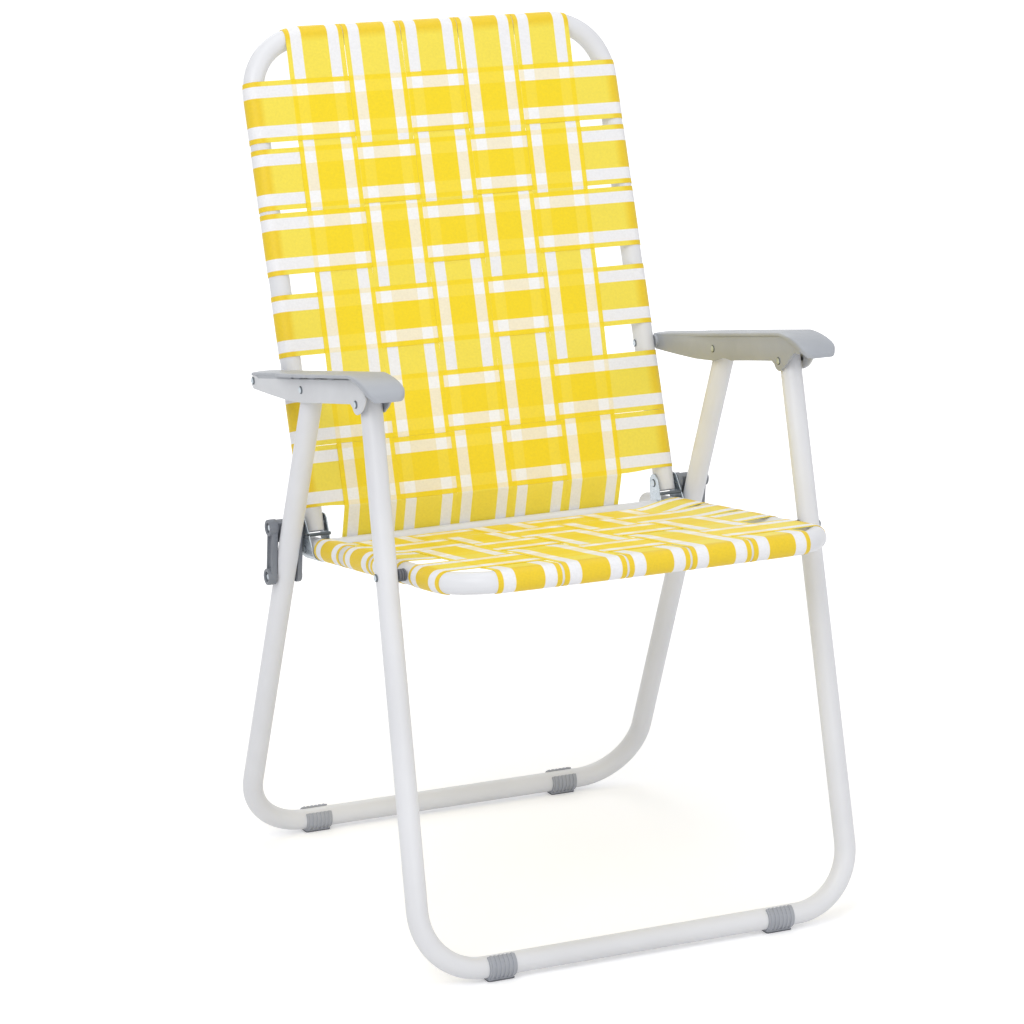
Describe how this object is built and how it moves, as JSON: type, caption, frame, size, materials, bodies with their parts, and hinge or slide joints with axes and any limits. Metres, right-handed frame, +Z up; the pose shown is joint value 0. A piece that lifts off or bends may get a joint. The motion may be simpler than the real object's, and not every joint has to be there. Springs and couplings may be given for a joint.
{
  "type": "folding webbed lawn chair",
  "caption": "High-backed folding lawn chair: white steel tube frames, woven yellow webbing, moulded grey armrests and ribbed foot glides; it folds flat.",
  "frame": {"origin": "on the floor, below the middle of the bounding box of the open chair", "axes": "X across the chair (left is -X as the sitter of the picture's near side is seen from the front), Y towards the rear, Z up"},
  "size_m": [0.5162, 0.5571, 0.8779],
  "materials": {
    "white_paint": "gloss white paint on steel tube",
    "grey_plastic": "satin moulded grey",
    "dark_grey_plastic": "satin moulded darker grey",
    "white_cap": "gloss white",
    "zinc_steel": "bluish zinc plate",
    "webbing": "woven yellow and white plastic webbing"
  },
  "bodies": {
    "back": {"arm_rear_bolt_left": "zinc_steel", "arm_rear_bolt_right": "zinc_steel", "back_cross_strap_1": "webbing", "back_cross_strap_2": "webbing", "back_cross_strap_3": "webbing", "back_cross_strap_4": "webbing", "back_cross_strap_5": "webbing", "back_cross_strap_6": "webbing", "back_frame": "white_paint", "back_strap_1": "webbing", "back_strap_2": "webbing", "back_strap_3": "webbing", "back_strap_4": "webbing", "back_strap_5": "webbing"},
    "seat": {"crossbar_screw_left": "zinc_steel", "crossbar_screw_right": "zinc_steel", "hinge_bracket_left": "zinc_steel", "hinge_bracket_right": "zinc_steel", "hinge_rivet_left": "zinc_steel", "hinge_rivet_right": "zinc_steel", "seat_cross_strap_1": "webbing", "seat_cross_strap_2": "webbing", "seat_cross_strap_3": "webbing", "seat_cross_strap_4": "webbing", "seat_frame": "white_paint", "seat_rail_plug_left": "white_cap", "seat_rail_plug_right": "white_cap", "seat_rear_crossbar": "white_paint", "seat_strap_1": "webbing", "seat_strap_2": "webbing", "seat_strap_3": "webbing", "seat_strap_4": "webbing", "seat_strap_5": "webbing", "stop_pin_left": "zinc_steel", "stop_pin_right": "zinc_steel"},
    "arm_left": {"arm_front_rivet_inner_left": "zinc_steel", "arm_front_rivet_outer_left": "zinc_steel", "arm_middle_rivet_left": "zinc_steel", "armrest_left": "grey_plastic"},
    "arm_right": {"arm_front_rivet_inner_right": "zinc_steel", "arm_front_rivet_outer_right": "zinc_steel", "arm_middle_rivet_right": "zinc_steel", "armrest_right": "grey_plastic"},
    "front_legs": {"front_foot_left": "dark_grey_plastic", "front_foot_right": "dark_grey_plastic", "front_leg_frame": "white_paint", "seat_pivot_rivet_left": "zinc_steel", "seat_pivot_rivet_right": "zinc_steel", "seat_pivot_spacer_left": "dark_grey_plastic", "seat_pivot_spacer_right": "dark_grey_plastic"},
    "rear_legs": {"link_foot_rivet_left": "zinc_steel", "link_foot_rivet_right": "zinc_steel", "rear_foot_left": "dark_grey_plastic", "rear_foot_right": "dark_grey_plastic", "rear_leg_frame": "white_paint"},
    "link_left": {"link_left": "dark_grey_plastic", "link_top_rivet_left": "zinc_steel"},
    "link_right": {"link_right": "dark_grey_plastic", "link_top_rivet_right": "zinc_steel"}
  },
  "joints": [
    {"name": "seat_fold", "type": "hinge", "parent": "back", "child": "seat", "pos_m": [0, 0.09548, 0.3846], "axis": [-1, 0, 0], "range_deg": [0, 90]},
    {"name": "arm_left_fold", "type": "hinge", "parent": "back", "child": "arm_left", "pos_m": [-0.2342, 0.14566, 0.5295], "axis": [-1, 0, 0], "range_deg": [0, 90.92]},
    {"name": "arm_right_fold", "type": "hinge", "parent": "back", "child": "arm_right", "pos_m": [0.2342, 0.14566, 0.5295], "axis": [-1, 0, 0], "range_deg": [0, 90.92]},
    {"name": "front_leg_swing", "type": "hinge", "parent": "seat", "child": "front_legs", "pos_m": [0, -0.16639, 0.3954], "axis": [1, 0, 0], "range_deg": [0, 78.3]},
    {"name": "rear_leg_swing", "type": "hinge", "parent": "arm_left", "child": "rear_legs", "pos_m": [-0.2354, 0.01509, 0.546], "axis": [1, 0, 0], "range_deg": [0, 51.56]},
    {"name": "link_left_swing", "type": "hinge", "parent": "rear_legs", "child": "link_left", "pos_m": [-0.2354, 0.10052, 0.331], "axis": [-1, 0, 0], "range_deg": [0, 143.24]},
    {"name": "link_right_swing", "type": "hinge", "parent": "rear_legs", "child": "link_right", "pos_m": [0.2354, 0.10052, 0.331], "axis": [-1, 0, 0], "range_deg": [0, 143.24]}
  ],
  "couplings": [
    {"joint": "arm_left_fold", "follows": "seat_fold", "ratio": 1.0101},
    {"joint": "arm_right_fold", "follows": "seat_fold", "ratio": 1.0101},
    {"joint": "front_leg_swing", "follows": "seat_fold", "ratio": 0.8699},
    {"joint": "rear_leg_swing", "follows": "seat_fold", "ratio": 0.5728},
    {"joint": "link_left_swing", "follows": "seat_fold", "ratio": 1.5914},
    {"joint": "link_right_swing", "follows": "seat_fold", "ratio": 1.5914}
  ]
}
